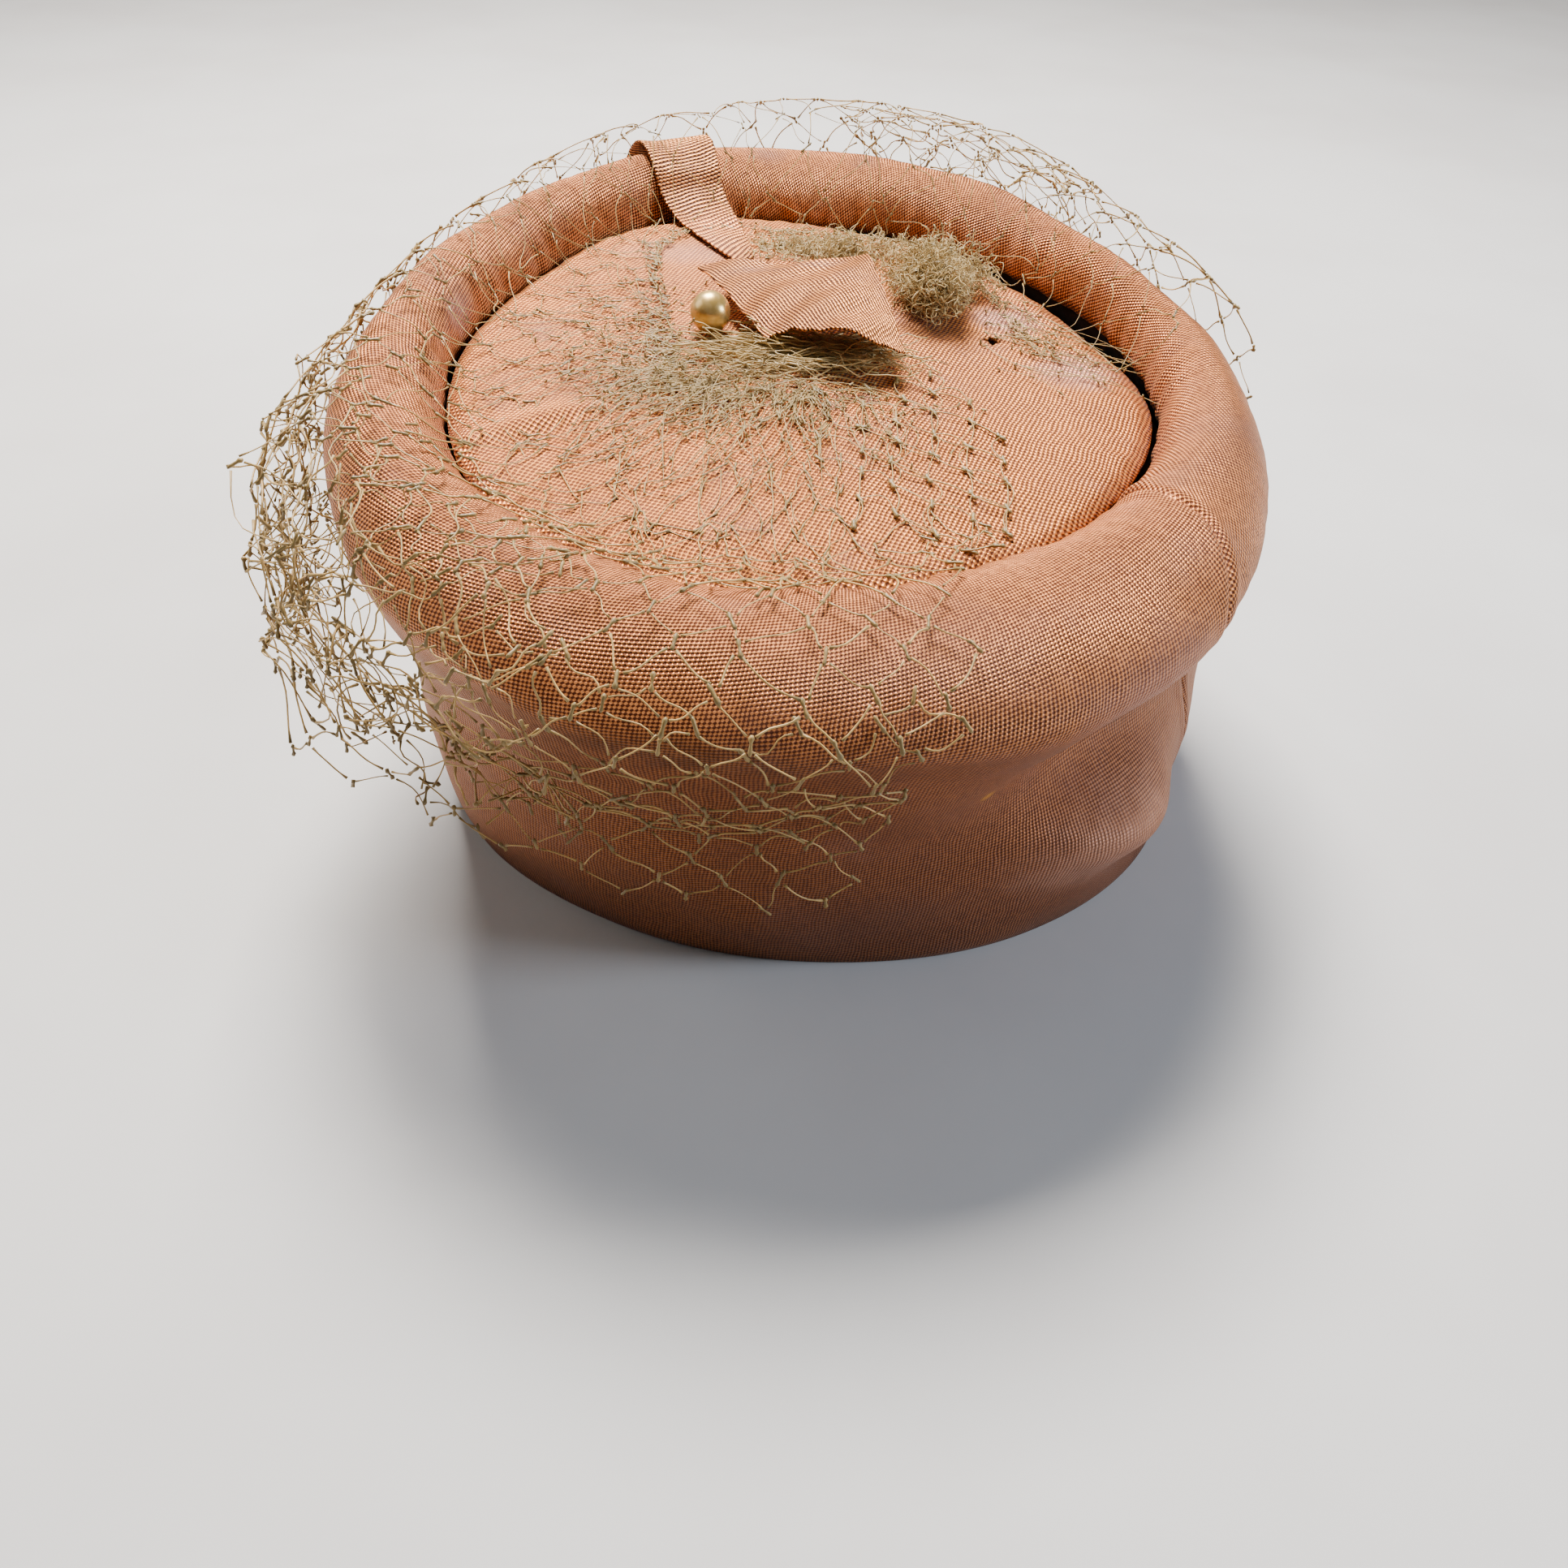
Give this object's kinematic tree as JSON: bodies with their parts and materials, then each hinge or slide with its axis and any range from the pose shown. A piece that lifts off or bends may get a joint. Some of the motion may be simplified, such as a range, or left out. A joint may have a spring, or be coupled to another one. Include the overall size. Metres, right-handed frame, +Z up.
{
  "type": "pillbox hat with net veil",
  "caption": "Padded-roll pillbox hat in rose gold shot silk, with a sunken top panel, a small ribbon bow, a sewn pearl and a gathered net veil over the crown",
  "frame": {"origin": "the middle of the whole hat seen from above, on the surface that its rim stands on", "axes": "+Z up, -Y towards the wearer's front, +X towards the wearer's left, which is the right side seen from the front"},
  "size_m": [0.2192, 0.2306, 0.1238],
  "materials": {
    "silk": "rose gold shot silk in a coarse plain weave, bright and dark threads, silky sheen",
    "ribbon": "fine ribbed silk ribbon, pale rose gold, frayed cut ends",
    "net": "coarse millinery net of thin olive gold thread with small knots",
    "pearl": "pale gold pearl lustre"
  },
  "bodies": {
    "root": {"side_band": "silk", "tip": "silk", "net_gather": "net", "net_tuft": "net", "bead": "pearl", "ribbon_strap": "ribbon", "ribbon_leaf": "ribbon", "veil": "net"}
  },
  "joints": []
}
